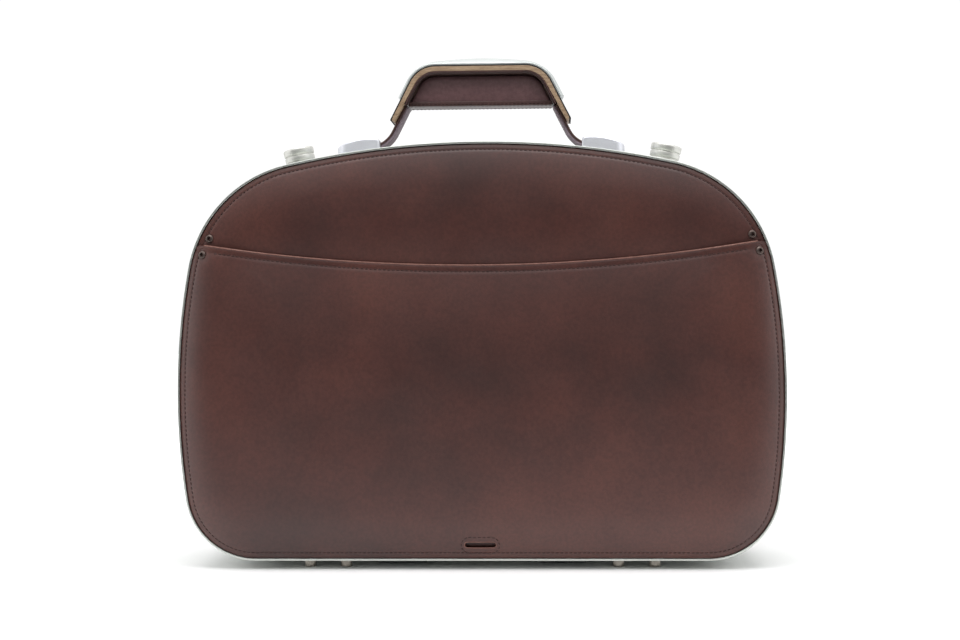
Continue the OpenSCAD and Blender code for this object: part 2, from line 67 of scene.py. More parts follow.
# the case's outline and main places in millimetres, as the frame has them
case = dict(crown=650.8, shoulder=93.7, side=520, corner=50.5, crownEnd=77.4, shoulderEnd=10.35, sideEnd=-8.55,
            rim=2.3, wall=1.6, edgeY=55, partY=-25, gap=0.2, baseZ=8.8)


view = dict(place=(54.6, -1253.5, 183.6), yaw=2.585, roll=-0.356, lens=61.2)  # millimetres and degrees


def makeCamera():
    data = bpy.data.cameras.new("frontCamera")
    data.lens = view["lens"]
    data.sensor_width = 36
    cam = bpy.data.objects.new("frontCamera", data)
    cam.location = [v * mm for v in view["place"]]
    turn = Matrix.Rotation(radians(view["yaw"]), 4, "Z") @ Matrix.Rotation(radians(90), 4, "X")
    cam.rotation_euler = (turn @ Matrix.Rotation(radians(view["roll"]), 4, "Z")).to_euler()
    scene.collection.objects.link(cam)
    scene.camera = cam


makeCamera()
print("camera placed")


def direction(deg):
    return np.array([cos(radians(deg)), sin(radians(deg))])


def outlineCentres():
    corner = np.array([0.0, case["corner"]])
    side = corner - (case["side"] - case["corner"]) * direction(case["sideEnd"])
    shoulder = side + (case["side"] - case["shoulder"]) * direction(case["shoulderEnd"])
    crown = shoulder - (case["crown"] - case["shoulder"]) * direction(case["crownEnd"])
    shift = np.array([-crown[0], case["baseZ"]])
    return [p + shift for p in (crown, shoulder, side, corner)]


crownC, shoulderC, sideC, cornerC = outlineCentres()
arcs = [(crownC, case["crown"], 90, case["crownEnd"]),
        (shoulderC, case["shoulder"], case["crownEnd"], case["shoulderEnd"]),
        (sideC, case["side"], case["shoulderEnd"], case["sideEnd"]),
        (cornerC, case["corner"], case["sideEnd"], -90)]
topZ = crownC[1] + case["crown"] + case["rim"]


def outline(grow=0.0, steps=(44, 44, 40, 36), flat=50):  # closed loop of x and z, clockwise from the top
    half = []
    for (c, r, a, b), n in zip(arcs, steps):
        half += [c + (r + grow) * direction(a + (b - a) * i / n) for i in range(n)]
    end = cornerC[0]
    half.append(np.array([end, case["baseZ"] - grow]))
    bottom = [np.array([end * (1 - 2 * i / flat), case["baseZ"] - grow]) for i in range(1, flat)]
    left = [np.array([-p[0], p[1]]) for p in reversed(half[1:])]
    return np.array(half + bottom + left)


def crownZ(x):  # height of the band's outer face
    r = case["crown"] + case["rim"]
    return crownC[1] + np.sqrt(r * r - np.square(x))


def insetOf(x, z):  # how far a point lies inside the leather's outline
    x, z = np.abs(np.asarray(x, float)), np.asarray(z, float)
    best = np.where(x <= cornerC[0], z - case["baseZ"], 1e9)
    for c, r, a, b in arcs:
        angle = np.degrees(np.arctan2(z - c[1], x - c[0]))
        inside = (angle <= a + 0.01) & (angle >= b - 0.01)
        best = np.where(inside, np.minimum(best, r - np.hypot(x - c[0], z - c[1])), best)
    return best


def rise(inset, height, run=30.0, power=2.2):
    return height * (1 - (1 - np.clip(inset, 0, run) / run) ** power)


def lumps(x, z, size, seed):  # slow unevenness of stretched leather, -1 to 1
    return np.array([noise.noise(Vector((a / size, seed, b / size))) for a, b in zip(np.ravel(x), np.ravel(z))])


sharpAngle = radians(38)


def addMesh(name, verts, faces, material, body, replaces=()):
    mesh = bpy.data.meshes.new(name)
    mesh.from_pydata([tuple(v) for v in np.asarray(verts, float) * mm], [], [tuple(int(i) for i in f) for f in faces])
    bm = bmesh.new()
    bm.from_mesh(mesh)
    bmesh.ops.remove_doubles(bm, verts=bm.verts, dist=1e-6)
    bmesh.ops.recalc_face_normals(bm, faces=bm.faces)
    bm.to_mesh(mesh)
    bm.free()
    mesh.polygons.foreach_set("use_smooth", [True] * len(mesh.polygons))
    mesh.set_sharp_from_angle(angle=sharpAngle)
    mesh.materials.append(material)
    obj = bpy.data.objects.new(name, mesh)
    scene.collection.objects.link(obj)
    if body:
        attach(obj, body)
    if replaces:
        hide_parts(*replaces)
    return obj


def bridge(count, rings, closed=False):
    faces = []
    for k in range(rings if closed else rings - 1):
        a, b = k * count, (k + 1) % rings * count
        faces += [(a + i, a + (i + 1) % count, b + (i + 1) % count, b + i) for i in range(count)]
    return faces


def loftFaces(count, rings):  # bridged rings with both ends closed
    return bridge(count, rings) + [tuple(range(count)), tuple(range((rings - 1) * count, rings * count))]


def joined(parts):
    verts, faces, start = [], [], 0
    for v, f in parts:
        verts.append(np.asarray(v, float))
        faces += [tuple(i + start for i in face) for face in f]
        start += len(v)
    return np.concatenate(verts), faces


def lathe(profile, count=96):
    rings = [[(r * cos(2 * pi * i / count), r * sin(2 * pi * i / count), z) for i in range(count)] for r, z in profile]
    return np.concatenate(rings), loftFaces(count, len(profile))


def rounded(points, radius, steps=4):  # fillets every corner of a closed section
    out = []
    n = len(points)
    for i in range(n):
        p, a, b = (np.array(points[j % n], float) for j in (i, i - 1, i + 1))
        u, v = a - p, b - p
        r = min(radius, np.linalg.norm(u) * 0.49, np.linalg.norm(v) * 0.49)
        s, e = p + u / np.linalg.norm(u) * r, p + v / np.linalg.norm(v) * r
        for k in range(steps + 1):
            t = k / steps
            out.append((1 - t) ** 2 * s + 2 * t * (1 - t) * p + t * t * e)
    return out


def cutAway(obj, verts, faces):  # takes a closed shape out of a piece
    mesh = bpy.data.meshes.new("cutter")
    mesh.from_pydata([tuple(v) for v in np.asarray(verts, float) * mm], [], faces)
    bm = bmesh.new()
    bm.from_mesh(mesh)
    bmesh.ops.recalc_face_normals(bm, faces=bm.faces)
    bm.to_mesh(mesh)
    bm.free()
    cutter = bpy.data.objects.new("cutter", mesh)
    scene.collection.objects.link(cutter)
    cut = obj.modifiers.new("cut", "BOOLEAN")
    cut.operation = "DIFFERENCE"
    cut.solver = "EXACT"
    cut.object = cutter
    made = bpy.data.meshes.new_from_object(obj.evaluated_get(bpy.context.evaluated_depsgraph_get()))
    obj.modifiers.clear()
    obj.data = made
    bpy.data.objects.remove(cutter)


def tangents(points):
    pts = np.asarray(points, float)
    tangent = np.vstack([pts[1:], 2 * pts[-1] - pts[-2]]) - np.vstack([2 * pts[0] - pts[1], pts[:-1]])
    return tangent / np.linalg.norm(tangent, axis=1, keepdims=True)


stitch = dict(pitch=3.3, length=2.45, radius=0.33, slant=7)


def stitchLine(name, path, outward, material, body, closed=False, pitch=None):
    pts, out = np.asarray(path, float), np.asarray(outward, float)
    if closed:
        pts, out = np.vstack([pts, pts[:1]]), np.vstack([out, out[:1]])
    run = np.concatenate([[0], np.cumsum(np.linalg.norm(np.diff(pts, axis=0), axis=1))])
    n = max(2, int(run[-1] / (pitch or stitch["pitch"])))
    at = (np.arange(n) + 0.5) * run[-1] / n
    where = np.stack([np.interp(at, run, pts[:, k]) for k in range(3)], 1)
    nxt = np.stack([np.interp(at + 0.6, run, pts[:, k]) for k in range(3)], 1)
    prv = np.stack([np.interp(at - 0.6, run, pts[:, k]) for k in range(3)], 1)
    up = np.stack([np.interp(at, run, out[:, k]) for k in range(3)], 1)
    half, r = stitch["length"] / 2, stitch["radius"]
    shape = [(-half, 0.25, -0.5), (-half * 0.86, 0.8, -0.12), (-half * 0.45, 1.0, 0.06), (0, 1.0, 0.1),
             (half * 0.45, 1.0, 0.06), (half * 0.86, 0.8, -0.12), (half, 0.25, -0.5)]
    parts = []
    for p, a, b, u in zip(where, prv, nxt, up):
        t = (b - a) / np.linalg.norm(b - a)
        u = u / np.linalg.norm(u)
        w = np.cross(u, t)
        t = t * cos(radians(stitch["slant"])) + w * sin(radians(stitch["slant"]))
        w = np.cross(u, t)
        rings = [p + t * x + u * (z + r * k * sin(a8)) + w * r * k * cos(a8)
                 for x, k, z in shape for a8 in np.arange(6) * pi / 3]
        parts.append((rings, loftFaces(6, len(shape))))
    verts, faces = joined(parts)
    return addMesh(name, verts, faces, material, body)


def newMaterial(name):
    mat = bpy.data.materials.new(name)
    mat.use_nodes = True
    nodes, links = mat.node_tree.nodes, mat.node_tree.links
    return mat, nodes, links, nodes["Principled BSDF"]


def noiseNode(nodes, links, coord, scale, detail=4.0, rough=0.55, squeeze=None):
    tex = nodes.new("ShaderNodeTexNoise")
    tex.inputs["Scale"].default_value = scale
    tex.inputs["Detail"].default_value = detail
    tex.inputs["Roughness"].default_value = rough
    source = coord
    if squeeze:
        stretch = nodes.new("ShaderNodeMapping")
        stretch.inputs["Scale"].default_value = squeeze
        links.new(coord, stretch.inputs["Vector"])
        source = stretch.outputs["Vector"]
    links.new(source, tex.inputs["Vector"])
    return tex


def ramp(nodes, links, source, stops):
    node = nodes.new("ShaderNodeValToRGB")
    band = node.color_ramp
    while len(band.elements) < len(stops):
        band.elements.new(0.5)
    for element, (at, colour) in zip(band.elements, stops):
        element.position = at
        element.color = (*colour, 1) if len(colour) == 3 else (colour[0],) * 3 + (1,)
    links.new(source, node.inputs["Fac"])
    return node.outputs["Color"]


def mixColour(nodes, links, a, b, amount, mode="MIX"):
    node = nodes.new("ShaderNodeMix")
    node.data_type = "RGBA"
    node.blend_type = mode
    if isinstance(amount, float):
        node.inputs["Factor"].default_value = amount
    else:
        links.new(amount, node.inputs["Factor"])
    for socket, value in (("A", a), ("B", b)):
        target = next(s for s in node.inputs if s.name == socket and s.type == "RGBA")
        if isinstance(value, tuple):
            target.default_value = (*value, 1)
        else:
            links.new(value, target)
    return next(s for s in node.outputs if s.type == "RGBA")


def bumpNode(nodes, links, height, strength, distance, below=None):
    node = nodes.new("ShaderNodeBump")
    node.inputs["Strength"].default_value = strength
    node.inputs["Distance"].default_value = distance
    links.new(height, node.inputs["Height"])
    if below:
        links.new(below, node.inputs["Normal"])
    return node.outputs["Normal"]


def leather(name, deep, warm, pale, roughness=(0.38, 0.46), grain=1.0, coat=0.25):
    mat, nodes, links, shader = newMaterial(name)
    coord = nodes.new("ShaderNodeTexCoord").outputs["Object"]
    patches = noiseNode(nodes, links, coord, 9, 3, 0.6)
    colour = ramp(nodes, links, patches.outputs["Fac"], [(0.32, deep), (0.5, warm), (0.68, pale)])
    fine = noiseNode(nodes, links, coord, 420, 3, 0.6)
    speck = ramp(nodes, links, fine.outputs["Fac"], [(0.35, (0.80,)), (0.65, (1.08,))])
    colour = mixColour(nodes, links, colour, speck, 1.0, "MULTIPLY")
    links.new(colour, shader.inputs["Base Color"])
    wear = noiseNode(nodes, links, coord, 30, 5, 0.6)
    rough = ramp(nodes, links, wear.outputs["Fac"], [(0.3, (roughness[0],)), (0.7, (roughness[1],))])
    links.new(rough, shader.inputs["Roughness"])
    shader.inputs["Specular IOR Level"].default_value = 0.5
    shader.inputs["Coat Weight"].default_value = coat
    shader.inputs["Coat Roughness"].default_value = 0.35
    cells = nodes.new("ShaderNodeTexVoronoi")
    cells.feature = "DISTANCE_TO_EDGE"
    cells.inputs["Scale"].default_value = 900
    links.new(coord, cells.inputs["Vector"])
    creases = ramp(nodes, links, cells.outputs["Distance"], [(0.0, (0.0,)), (0.22, (1.0,))])
    normal = bumpNode(nodes, links, creases, 0.10 * grain, 0.0002)
    normal = bumpNode(nodes, links, fine.outputs["Fac"], 0.16 * grain, 0.0003, normal)
    swell = noiseNode(nodes, links, coord, 45, 2, 0.5)
    links.new(bumpNode(nodes, links, swell.outputs["Fac"], 0.10 * grain, 0.0012, normal), shader.inputs["Normal"])
    return mat


def metal(name, colour, roughness=0.32, squeeze=(1, 1, 1), scale=400, grain=0.06, spread=0.08):
    mat, nodes, links, shader = newMaterial(name)
    coord = nodes.new("ShaderNodeTexCoord").outputs["Object"]
    brush = noiseNode(nodes, links, coord, scale, 3, 0.6, squeeze)
    cloud = noiseNode(nodes, links, coord, 25, 3, 0.5)
    dark = tuple(c * 0.90 for c in colour)
    links.new(ramp(nodes, links, cloud.outputs["Fac"], [(0.3, dark), (0.7, colour)]), shader.inputs["Base Color"])
    links.new(ramp(nodes, links, brush.outputs["Fac"], [(0.3, (roughness - spread,)), (0.7, (roughness + spread,))]),
              shader.inputs["Roughness"])
    shader.inputs["Metallic"].default_value = 1.0
    links.new(bumpNode(nodes, links, brush.outputs["Fac"], grain, 0.0002), shader.inputs["Normal"])
    return mat


def wood(name, dark, light):
    mat, nodes, links, shader = newMaterial(name)
    coord = nodes.new("ShaderNodeTexCoord").outputs["Object"]
    grain = noiseNode(nodes, links, coord, 60, 6, 0.6, (1, 6, 14))
    pores = noiseNode(nodes, links, coord, 300, 4, 0.7, (1, 8, 8))
    colour = ramp(nodes, links, grain.outputs["Fac"], [(0.3, dark), (0.68, light)])
    streak = ramp(nodes, links, pores.outputs["Fac"], [(0.36, (0.72,)), (0.5, (1.0,))])
    links.new(mixColour(nodes, links, colour, streak, 1.0, "MULTIPLY"), shader.inputs["Base Color"])
    shader.inputs["Roughness"].default_value = 0.5
    links.new(bumpNode(nodes, links, grain.outputs["Fac"], 0.15, 0.0003), shader.inputs["Normal"])
    return mat


def cloth(name, dark, light, threads=1400):
    mat, nodes, links, shader = newMaterial(name)
    coord = nodes.new("ShaderNodeTexCoord").outputs["Object"]
    heights = []
    for axis in ("X", "Z"):
        wave = nodes.new("ShaderNodeTexWave")
        wave.bands_direction = axis
        wave.inputs["Scale"].default_value = threads / 6.28
        wave.inputs["Distortion"].default_value = 0.6
        links.new(coord, wave.inputs["Vector"])
        heights.append(wave.outputs["Color"])
    weave = mixColour(nodes, links, heights[0], heights[1], 1.0, "MULTIPLY")
    tone = noiseNode(nodes, links, coord, 40, 4, 0.6)
    colour = ramp(nodes, links, tone.outputs["Fac"], [(0.3, dark), (0.7, light)])
    links.new(colour, shader.inputs["Base Color"])
    shader.inputs["Roughness"].default_value = 0.9
    shader.inputs["Sheen Weight"].default_value = 0.3
    links.new(bumpNode(nodes, links, weave, 0.4, 0.0003), shader.inputs["Normal"])
    return mat


def plain(name, dark, light, roughness, scale=200, bump=0.1):
    mat, nodes, links, shader = newMaterial(name)
    coord = nodes.new("ShaderNodeTexCoord").outputs["Object"]
    tone = noiseNode(nodes, links, coord, scale, 4, 0.6)
    links.new(ramp(nodes, links, tone.outputs["Fac"], [(0.3, dark), (0.7, light)]), shader.inputs["Base Color"])
    shader.inputs["Roughness"].default_value = roughness
    links.new(bumpNode(nodes, links, tone.outputs["Fac"], bump, 0.0002), shader.inputs["Normal"])
    return mat


brownLeather = leather("brownLeather", (0.046, 0.0145, 0.0115), (0.068, 0.020, 0.015), (0.092, 0.028, 0.020))
strapLeather = leather("strapLeather", (0.060, 0.025, 0.023), (0.080, 0.034, 0.031), (0.10, 0.043, 0.039), grain=0.6)
gripLeather = leather("gripLeather", (0.125, 0.062, 0.065), (0.150, 0.076, 0.080), (0.17, 0.090, 0.094), grain=0.5)
darkLeather = leather("darkLeather", (0.022, 0.009, 0.008), (0.034, 0.014, 0.012), (0.045, 0.02, 0.017), grain=0.6)
# the straps' inner layer is real leather; its pale lilac colour is a painted sheen reflection
linerLeatherPaintedSheen = plain("linerLeatherPaintedSheen", (0.20, 0.145, 0.175), (0.30, 0.235, 0.27), 0.7, 300, 0.2)
cutEdge = plain("cutEdge", (0.16, 0.062, 0.045), (0.26, 0.12, 0.09), 0.5, 300, 0.3)
thread = plain("thread", (0.030, 0.012, 0.011), (0.055, 0.024, 0.021), 0.75, 900, 0.4)
# real stitches whose pale lilac colour is a painted highlight
threadPaintedHighlight = plain("threadPaintedHighlight", (0.20, 0.17, 0.20), (0.34, 0.30, 0.34), 0.8, 900, 0.4)
bandMetal = metal("bandMetal", (0.66, 0.69, 0.65), 0.38, (1, 0.05, 1), 500)
knobMetal = metal("knobMetal", (0.76, 0.76, 0.72), 0.5, (1, 1, 1), 900, 0.02, 0.03)
capMetal = metal("capMetal", (0.84, 0.85, 0.90), 0.55, (1, 1, 1), 900, 0.12)
plateMetal = metal("plateMetal", (0.66, 0.69, 0.68), 0.6, (0.1, 1, 1), 700)
steel = metal("steel", (0.50, 0.50, 0.50), 0.35)
brass = metal("brass", (0.62, 0.46, 0.22), 0.35)
bronze = metal("bronze", (0.13, 0.10, 0.09), 0.42)
nickel = metal("nickel", (0.55, 0.50, 0.44), 0.35, (1, 1, 6), 200)
rubber = plain("rubber", (0.010, 0.010, 0.010), (0.02, 0.02, 0.02), 0.6)
handleWood = wood("handleWood", (0.30, 0.19, 0.115), (0.52, 0.37, 0.24))
coreWood = wood("coreWood", (0.22, 0.14, 0.08), (0.34, 0.24, 0.15))
boardFace = plain("boardFace", (0.16, 0.10, 0.06), (0.24, 0.16, 0.10), 0.8, 120, 0.2)
liningCloth = cloth("liningCloth", (0.028, 0.020, 0.018), (0.048, 0.034, 0.030))
print("materials made")

cadFinish = dict(base_board=boardFace, lid_board=boardFace, base_lining=liningCloth, lid_lining=liningCloth,
                 base_side_lining=liningCloth, lid_side_lining=liningCloth, parting_seal=rubber,
                 latch_bush_left=brass, latch_bush_right=brass, latch_ring_nuts=brass, grip_core=coreWood)
for nodeName, nodeObject in frame["nodes"].items():
    finish = cadFinish.get(nodeName, steel)
    for holder in [nodeObject, *nodeObject.children_recursive]:
        if holder.type == "MESH":
            holder.data.materials.clear()
            holder.data.materials.append(finish)


band = dict(round=0.45, flange=2.4, flangeIn=6.0, ribIn=1.5, boardIn=5, board=3, rib=1.5)


def bandSection(side):  # points of grow and distance from the parting plane towards the outer edge
    deep = case["edgeY"] + case["partY"] - case["gap"] if side < 0 else case["edgeY"] - case["partY"] - case["gap"]
    out, inner = case["rim"], case["rim"] - case["wall"]
    ribAt = deep - band["boardIn"] - band["board"]
    section = [(out, 0), (out, deep), (inner, deep), (inner, ribAt), (-band["ribIn"], ribAt),
               (-band["ribIn"], ribAt - band["rib"]), (inner, ribAt - band["rib"]), (inner, band["flange"]),
               (-band["flangeIn"], band["flange"]), (-band["flangeIn"], 0)]
    return rounded(section, band["round"], 4)


def makeBand(name, side, body, node):
    rings = []
    for grow, along in bandSection(side):
        y = case["partY"] + side * (case["gap"] + along)
        rings.append([(x, y, z) for x, z in outline(grow)])
    faces = bridge(len(rings[0]), len(rings), closed=True)
    return addMesh(name, np.concatenate(rings), faces, bandMetal, body, [node])


makeBand("lidBand", -1, "lid_shell", "lid_frame_band")
makeBand("baseBand", 1, "base_shell", "base_frame_band")
print("bands made")


panel = dict(dome=8.5, tuck=0.6, under=1.7, underTuck=2.3, upperTuck=0.9, thick=1.6, rear=4.0, lid=2.4, edge=0.4,
             seam=3.8, seamDip=0.26, seamWidth=0.8, middle=150, belly=5.0, bellyRun=72, bulge=2.5, swell=6.0)
screws = dict(upper=(199.7, 236.2 + case["baseZ"]), lower=(204.9, 224.2 + case["baseZ"]), head=3.0, hexagon=1.35,
              dip=0.7)
mouth = dict(low=case["baseZ"] + 214.9, radius=1300, endX=203.4, middle=112, edge=4.6)
edgeInsets = [0.5, 0.9, 1.4, 2.0, 2.6, 3.1, 3.5, 3.8, 4.1, 4.6, 5.3, 6.3, 7.6, 9.2, 11, 13, 15.5, 18.5, 22, 26, 31]


def mouthZ(x):
    return mouth["low"] + mouth["radius"] - np.sqrt(mouth["radius"] ** 2 - np.square(x))


def dimples(x, z, spots):
    sunk = np.zeros_like(x)
    for sx, sz in spots:
        reach = np.hypot(np.abs(x) - sx, z - sz)
        sunk += screws["dip"] * np.exp(-(reach / 4.2) ** 2)
    return sunk


def seamGroove(inset):
    return panel["seamDip"] * np.exp(-((inset - panel["seam"]) / panel["seamWidth"]) ** 2)


def outerFace(x, z, seed, spots=()):  # how far the padded face stands out of the band's edge
    inset = insetOf(x, z)
    out = rise(inset, panel["dome"] + panel["tuck"]) - panel["tuck"] - seamGroove(inset)
    shape = np.clip(inset / 30, 0, 1)
    out += lumps(x, z, 70, seed).reshape(x.shape) * 0.35 * shape - 0.30 * shape
    return out - dimples(x, z, spots)


def fanRings(loop, centre, insets, inner=14):
    away = np.asarray(centre) - loop
    length = np.linalg.norm(away, axis=1, keepdims=True)
    rings = [loop + away / length * s for s in insets]
    for k in range(1, inner):
        s = insets[-1] + (length - insets[-1]) * (k / inner) ** 0.9
        rings.append(loop + away / length * s)
    return rings


def sheetMesh(loop, centre, side, face, thick, insets=edgeInsets):
    # the front runs inward from a rounded edge, and the back runs the same way a thickness behind it
    rings, r = [], thick / 2
    front = fanRings(loop, centre, insets)
    for ring in reversed(front):
        rings.append((ring, face(ring[:, 0], ring[:, 1]) - thick))
    first = fanRings(loop, centre, [r])[0]
    mid = face(first[:, 0], first[:, 1]) - r
    for angle in (-60, -30, 0, 30, 60):
        edge = fanRings(loop, centre, [r * (1 - cos(radians(angle)))])[0]
        rings.append((edge, mid + r * sin(radians(angle))))
    for ring in front:
        rings.append((ring, face(ring[:, 0], ring[:, 1])))
    verts = [np.stack([p[:, 0], side * (case["edgeY"] + out), p[:, 1]], 1) for p, out in rings]
    count = len(loop)
    faces = bridge(count, len(rings))
    stacked = np.concatenate(verts)
    ends = [verts[0].mean(0), verts[-1].mean(0)]
    stacked = np.vstack([stacked, ends])
    for k, start in ((0, 0), (1, (len(rings) - 1) * count)):
        tip = len(rings) * count + k
        faces += [(start + i, start + (i + 1) % count, tip) for i in range(count)]
    return stacked, faces


def loopBelowMouth():
    loop = outline(panel["edge"])
    below = loop[loop[:, 1] < mouthZ(np.minimum(np.abs(loop[:, 0]), 215))]
    start = int(np.argmax(np.linalg.norm(np.diff(np.vstack([below, below[:1]]), axis=0), axis=1))) + 1
    below = np.roll(below, -start, axis=0)
    a, b = below[-1], below[0]
    across = np.linspace(a[0], b[0], 150)[1:-1]
    return np.vstack([below, np.stack([across, mouthZ(across)], 1)])


def outwardOf(points, side, face):  # surface normals of a face at the given x and z
    e = 0.5
    x, z = points[:, 0], points[:, 1]
    slopeX = (face(x + e, z) - face(x - e, z)) / (2 * e)
    slopeZ = (face(x, z + e) - face(x, z - e)) / (2 * e)
    n = np.stack([-slopeX, np.full_like(x, side), -slopeZ], 1)
    return n / np.linalg.norm(n, axis=1, keepdims=True)


def pocketFace(x, z):
    out = outerFace(x, z, 3.1, [screws["lower"]])
    drop = z - mouthZ(x)
    inward = np.clip(insetOf(x, z) / 45, 0, 1)
    out = out - panel["belly"] * np.clip(1 + drop / panel["bellyRun"], 0, 1) ** 2 * inward
    out = out + panel["bulge"] * (1 - ((z - mouth["middle"]) / 116) ** 2) * inward * (2 - inward)
    return out - 0.30 * np.exp(-((drop + mouth["edge"]) / 0.9) ** 2) + 0.25 * np.exp(-((drop + 1.2) / 1.5) ** 2)


def lidFace(x, z):  # the panel under the pocket and above it
    inset = insetOf(x, z)
    tuck = panel["underTuck"] + (panel["upperTuck"] - panel["underTuck"]) * np.clip((z - mouthZ(x)) / 8 + 0.5, 0, 1)
    out = rise(inset, panel["under"] + tuck) - tuck - seamGroove(inset)
    above = np.clip((z - mouthZ(x) + 2) / 62, 0, 1)
    swell = rise(inset, panel["swell"], 78, 2) * above * (2 - above)
    return out + swell - 0.3 * dimples(x, z, [screws["upper"]])


def makePanels():
    def back(x, z):
        return outerFace(x, z, 7.7)

    verts, faces = sheetMesh(outline(panel["edge"]), (0, panel["middle"]), 1, back, panel["rear"])
    rear = addMesh("rearLeather", verts, faces, brownLeather, "base_shell", ["base_leather_panel"])
    verts, faces = sheetMesh(outline(panel["edge"]), (0, panel["middle"]), -1, lidFace, panel["lid"])
    front = addMesh("lidLeather", verts, faces, brownLeather, "lid_shell", ["lid_leather_panel"])
    verts, faces = sheetMesh(loopBelowMouth(), (0, mouth["middle"]), -1, pocketFace, panel["thick"])
    pocket = addMesh("pocketLeather", verts, faces, brownLeather, "lid_shell", ["pocket_leather"])
    return back, pocket


rearFace, pocketPiece = makePanels()
print("leather panels made")

slot = dict(width=23, height=4.1, z=case["baseZ"] + 10.1, ringWidth=28, ringHeight=12.2, ringZ=case["baseZ"] + 9.7,
            lip=0.6, lipRise=0.22)


def stadium(width, height, z, n=16):  # closed loop of x and z
    r, reach = height / 2, (width - height) / 2
    pts = [(reach + r * cos(a), z + r * sin(a)) for a in np.linspace(pi / 2, -pi / 2, n)]
    pts += [(-reach * k, z - r) for k in (-0.6, -0.2, 0.2, 0.6)]
    pts += [(-reach + r * cos(a), z + r * sin(a)) for a in np.linspace(-pi / 2, -3 * pi / 2, n)]
    pts += [(reach * k, z + r) for k in (-0.6, -0.2, 0.2, 0.6)]
    return np.array(pts)


def resampled(loop, n):  # n even steps round a closed loop
    pts = np.vstack([loop, loop[:1]])
    run = np.concatenate([[0], np.cumsum(np.linalg.norm(np.diff(pts, axis=0), axis=1))])
    at = np.linspace(0, run[-1], n, endpoint=False)
    return np.stack([np.interp(at, run, pts[:, k]) for k in range(pts.shape[1])], 1)


def makeThumbSlot():
    hole = stadium(slot["width"], slot["height"], slot["z"])
    verts = [(x, y, z) for y in (-50, -75) for x, z in hole]
    cutAway(pocketPiece, verts, loftFaces(len(hole), 2))
    # a thin turned lip runs round the hole
    def ringAt(grow):
        return resampled(stadium(slot["width"] + grow, slot["height"] + grow, slot["z"]), count)

    count = 72
    centre = ringAt(0.4)
    rings = []
    for k in range(8):
        a = 2 * pi * k / 8
        ring = ringAt(0.4 + slot["lip"] * cos(a))
        out = pocketFace(centre[:, 0], centre[:, 1]) + slot["lipRise"] * sin(a) - 0.1
        rings.append(np.stack([ring[:, 0], -(case["edgeY"] + out), ring[:, 1]], 1))
    addMesh("slotLip", np.concatenate(rings), bridge(count, 8, closed=True), cutEdge, "lid_shell", ["slot_patch"])


makeThumbSlot()


binding = dict(sides=10, tall=0.62, deep=0.88, back=0.72)


def makeBinding():  # the pale cut edge along the pocket's mouth
    sides = binding["sides"]
    xs = mouth["endX"] * np.sin(np.linspace(-pi / 2, pi / 2, 140))
    rings = []
    for k in range(sides):
        a = 2 * pi * k / sides
        z = mouthZ(xs) + 0.15 + binding["tall"] * sin(a)
        out = pocketFace(xs, mouthZ(xs) - 1.0) - binding["back"] + binding["deep"] * cos(a)
        rings.append(np.stack([xs, -(case["edgeY"] + out), z], 1))
    verts = np.stack(rings, 1).reshape(-1, 3)
    faces = loftFaces(sides, len(xs))
    addMesh("mouthBinding", verts, faces, cutEdge, "lid_shell", ["pocket_edge_binding"])


makeBinding()


def makeSeams():
    rim = outline(-panel["seam"])
    def raised(points, side, face):
        out = face(points[:, 0], points[:, 1]) + 0.12
        return np.stack([points[:, 0], side * (case["edgeY"] + out), points[:, 1]], 1)
    stitchLine("rearSeam", raised(rim, 1, rearFace), outwardOf(rim, 1, rearFace), thread, "base_shell", True)
    gapAt = mouthZ(np.minimum(np.abs(rim[:, 0]), 215))
    def openRun(keep):
        start = int(np.argmax(np.linalg.norm(np.diff(np.vstack([keep, keep[:1]]), axis=0), axis=1))) + 1
        return np.roll(keep, -start, axis=0)
    low = openRun(rim[rim[:, 1] < gapAt - 2.5])
    high = openRun(rim[rim[:, 1] > gapAt + 2.5])
    stitchLine("pocketSeam", raised(low, -1, pocketFace), outwardOf(low, -1, pocketFace), thread, "lid_shell")
    stitchLine("lidSeam", raised(high, -1, lidFace), outwardOf(high, -1, lidFace), thread, "lid_shell")
    xs = np.linspace(-196, 196, 200)
    line = np.stack([xs, mouthZ(xs) - mouth["edge"]], 1)
    stitchLine("mouthSeam", raised(line, -1, pocketFace), outwardOf(line, -1, pocketFace), thread, "lid_shell")
    ring = resampled(stadium(slot["ringWidth"], slot["ringHeight"], slot["ringZ"]), 80)
    stitchLine("slotSeam", raised(ring, -1, pocketFace), outwardOf(ring, -1, pocketFace), thread, "lid_shell", True)


makeSeams()
print("seams stitched")


def makeScrews():
    parts = []
    for (sx, sz), face in ((screws["upper"], lidFace), (screws["lower"], pocketFace)):
        for side in (-1, 1):
            at = np.array([[side * sx, sz]])
            normal = Vector(outwardOf(at, -1, face)[0]).lerp(Vector((0, -1, 0)), 0.3).normalized()
            seat = Vector((side * sx, -(case["edgeY"] + float(face(at[:, 0], at[:, 1])[0]) + 0.35), sz))
            head = screws["head"]
            hexR, count = screws["hexagon"], 48
            profile = [(head, -2.2), (head, 0.35), (head * 0.93, 0.75), (head * 0.78, 1.1), (head * 0.58, 1.3)]
            rings = [[(r * cos(2 * pi * i / count), r * sin(2 * pi * i / count), z) for i in range(count)]
                     for r, z in profile]
            def hexRing(z, r=hexR):
                pts = []
                for i in range(count):
                    a = 2 * pi * i / count
                    k = r * cos(pi / 6) / cos((a + pi / 6) % (pi / 3) - pi / 6)
                    pts.append((k * cos(a), k * sin(a), z))
                return pts
            rings += [hexRing(1.3, hexR + 0.1), hexRing(1.2), hexRing(-0.4)]
            turn = normal.to_track_quat("Z", "Y").to_matrix()
            verts = [seat + turn @ Vector(p) for ring in rings for p in ring]
            parts.append((verts, loftFaces(count, len(rings))))
    verts, faces = joined(parts)
    addMesh("pocketScrews", verts, faces, bronze, "lid_shell", ["pocket_screws"])


makeScrews()


feet = dict(inner=101.5, outer=128.5, y=37)
footProfile = [(3.2, 0), (3.8, 0.12), (4.15, 0.5), (4.2, 1.0), (4.2, 4.3), (4.05, 4.7), (3.7, 4.9), (3.65, 6.5)]


